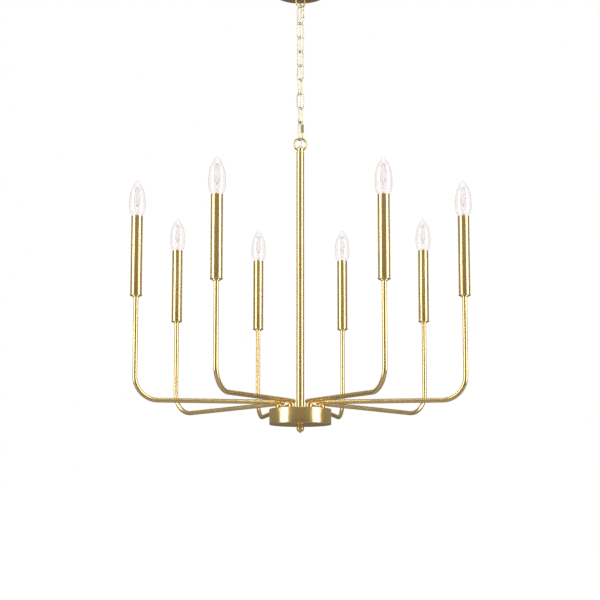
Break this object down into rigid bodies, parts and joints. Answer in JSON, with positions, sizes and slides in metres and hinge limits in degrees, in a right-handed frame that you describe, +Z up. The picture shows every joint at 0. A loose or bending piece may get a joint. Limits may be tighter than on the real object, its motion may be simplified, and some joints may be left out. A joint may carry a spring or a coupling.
{
  "type": "chandelier",
  "caption": "Multi arm candle chandelier in satin gold: L-bent swivelling arms on a drum hub, plain candle sleeves with clear bulbs, two-piece rod, ring, quick links, short chain and canopy.",
  "frame": {"origin": "middle of the ceiling strap's two slots, on the ceiling face", "axes": "+Z up into the ceiling; the front faces -Y; +X to the right seen from the front"},
  "size_m": [0.7302, 0.7312, 1.0272],
  "materials": {
    "satin_gold": "satin brushed brass plate",
    "chain_gold": "bright brass plate",
    "black_holder": "black phenolic",
    "clear_glass": "clear thin glass",
    "clear_cord": "clear PVC over tinned strands",
    "zinc_steel": "zinc-plated steel",
    "green_screw": "green-coated screw",
    "splice_plastic": "ivory nylon"
  },
  "bodies": {
    "ceiling_mount": {"ceiling_strap": "zinc_steel", "canopy": "satin_gold", "canopy_nipple": "zinc_steel", "strap_lock_nut": "zinc_steel", "canopy_loop": "satin_gold", "ground_screw": "green_screw"},
    "chain": {"upper_quick_link": "chain_gold", "chain_links": "chain_gold", "lower_quick_link": "chain_gold", "power_cord": "clear_cord"},
    "upper_nut": {"upper_link_nut": "chain_gold"},
    "lower_nut": {"lower_link_nut": "chain_gold"},
    "ring": {"hang_ring": "satin_gold"},
    "stem": {"hang_cap": "satin_gold", "cap_set_screw": "satin_gold", "upper_rod": "satin_gold", "rod_coupler": "zinc_steel", "lower_rod": "satin_gold", "rod_foot_bush": "zinc_steel", "hub_shell": "satin_gold", "hub_cover": "satin_gold", "hub_nipple": "zinc_steel", "hub_lock_nuts": "zinc_steel", "finial": "satin_gold", "pivot_collars": "satin_gold", "pivot_washers": "zinc_steel", "pivot_nuts": "zinc_steel", "splice_caps": "splice_plastic"},
    "arm_body_1": {"arm_1": "satin_gold", "lampholder_1": "black_holder", "candle_sleeve_1": "satin_gold"},
    "arm_body_2": {"arm_2": "satin_gold", "lampholder_2": "black_holder", "candle_sleeve_2": "satin_gold"},
    "arm_body_3": {"arm_3": "satin_gold", "lampholder_3": "black_holder", "candle_sleeve_3": "satin_gold"},
    "arm_body_4": {"arm_4": "satin_gold", "lampholder_4": "black_holder", "candle_sleeve_4": "satin_gold"},
    "arm_body_5": {"arm_5": "satin_gold", "lampholder_5": "black_holder", "candle_sleeve_5": "satin_gold"},
    "arm_body_6": {"arm_6": "satin_gold", "lampholder_6": "black_holder", "candle_sleeve_6": "satin_gold"},
    "arm_body_7": {"arm_7": "satin_gold", "lampholder_7": "black_holder", "candle_sleeve_7": "satin_gold"},
    "arm_body_8": {"arm_8": "satin_gold", "lampholder_8": "black_holder", "candle_sleeve_8": "satin_gold"},
    "bulb_body_1": {"bulb_1": "clear_glass"},
    "bulb_body_2": {"bulb_2": "clear_glass"},
    "bulb_body_3": {"bulb_3": "clear_glass"},
    "bulb_body_4": {"bulb_4": "clear_glass"},
    "bulb_body_5": {"bulb_5": "clear_glass"},
    "bulb_body_6": {"bulb_6": "clear_glass"},
    "bulb_body_7": {"bulb_7": "clear_glass"},
    "bulb_body_8": {"bulb_8": "clear_glass"}
  },
  "joints": [
    {"name": "chain_swing", "type": "hinge", "parent": "ceiling_mount", "child": "chain", "pos_m": [0, 0, -0.0569], "axis": [0.7431, 0.6691, 0], "range_deg": [-12, 12], "deforming": ["power_cord"]},
    {"name": "upper_nut_slide", "type": "slide", "parent": "chain", "child": "upper_nut", "axis": [0, 0, -1], "range_m": [0, 0.0025]},
    {"name": "lower_nut_slide", "type": "slide", "parent": "chain", "child": "lower_nut", "axis": [0, 0, -1], "range_m": [0, 0.006]},
    {"name": "ring_swing", "type": "hinge", "parent": "chain", "child": "ring", "pos_m": [0, 0, -0.36759], "axis": [0.9903, 0.1392, 0], "range_deg": [-12, 12], "deforming": ["power_cord"]},
    {"name": "stem_swing", "type": "hinge", "parent": "ring", "child": "stem", "pos_m": [0, 0, -0.37909], "axis": [-0.1392, 0.9903, 0], "range_deg": [-12, 12]},
    {"name": "arm_1_swivel", "type": "hinge", "parent": "stem", "child": "arm_body_1", "pos_m": [0.01913, -0.04619, -0.97509], "axis": [0, 0, 1], "range_deg": [-20, 12]},
    {"name": "arm_2_swivel", "type": "hinge", "parent": "stem", "child": "arm_body_2", "pos_m": [0.04619, -0.01913, -0.97509], "axis": [0, 0, 1], "range_deg": [-18, 18]},
    {"name": "arm_3_swivel", "type": "hinge", "parent": "stem", "child": "arm_body_3", "pos_m": [0.04619, 0.01913, -0.97509], "axis": [0, 0, 1], "range_deg": [-24, 12]},
    {"name": "arm_4_swivel", "type": "hinge", "parent": "stem", "child": "arm_body_4", "pos_m": [0.01913, 0.04619, -0.97509], "axis": [0, 0, 1], "range_deg": [-14, 12]},
    {"name": "arm_5_swivel", "type": "hinge", "parent": "stem", "child": "arm_body_5", "pos_m": [-0.01913, 0.04619, -0.97509], "axis": [0, 0, 1], "range_deg": [-12, 14]},
    {"name": "arm_6_swivel", "type": "hinge", "parent": "stem", "child": "arm_body_6", "pos_m": [-0.04619, 0.01913, -0.97509], "axis": [0, 0, 1], "range_deg": [-12, 24]},
    {"name": "arm_7_swivel", "type": "hinge", "parent": "stem", "child": "arm_body_7", "pos_m": [-0.04619, -0.01913, -0.97509], "axis": [0, 0, 1], "range_deg": [-18, 18]},
    {"name": "arm_8_swivel", "type": "hinge", "parent": "stem", "child": "arm_body_8", "pos_m": [-0.01913, -0.04619, -0.97509], "axis": [0, 0, 1], "range_deg": [-12, 20]},
    {"name": "bulb_1_unscrew", "type": "slide", "parent": "arm_body_1", "child": "bulb_body_1", "axis": [0, 0, 1], "range_m": [0, 0.03]},
    {"name": "bulb_2_unscrew", "type": "slide", "parent": "arm_body_2", "child": "bulb_body_2", "axis": [0, 0, 1], "range_m": [0, 0.03]},
    {"name": "bulb_3_unscrew", "type": "slide", "parent": "arm_body_3", "child": "bulb_body_3", "axis": [0, 0, 1], "range_m": [0, 0.03]},
    {"name": "bulb_4_unscrew", "type": "slide", "parent": "arm_body_4", "child": "bulb_body_4", "axis": [0, 0, 1], "range_m": [0, 0.03]},
    {"name": "bulb_5_unscrew", "type": "slide", "parent": "arm_body_5", "child": "bulb_body_5", "axis": [0, 0, 1], "range_m": [0, 0.03]},
    {"name": "bulb_6_unscrew", "type": "slide", "parent": "arm_body_6", "child": "bulb_body_6", "axis": [0, 0, 1], "range_m": [0, 0.03]},
    {"name": "bulb_7_unscrew", "type": "slide", "parent": "arm_body_7", "child": "bulb_body_7", "axis": [0, 0, 1], "range_m": [0, 0.03]},
    {"name": "bulb_8_unscrew", "type": "slide", "parent": "arm_body_8", "child": "bulb_body_8", "axis": [0, 0, 1], "range_m": [0, 0.03]}
  ]
}
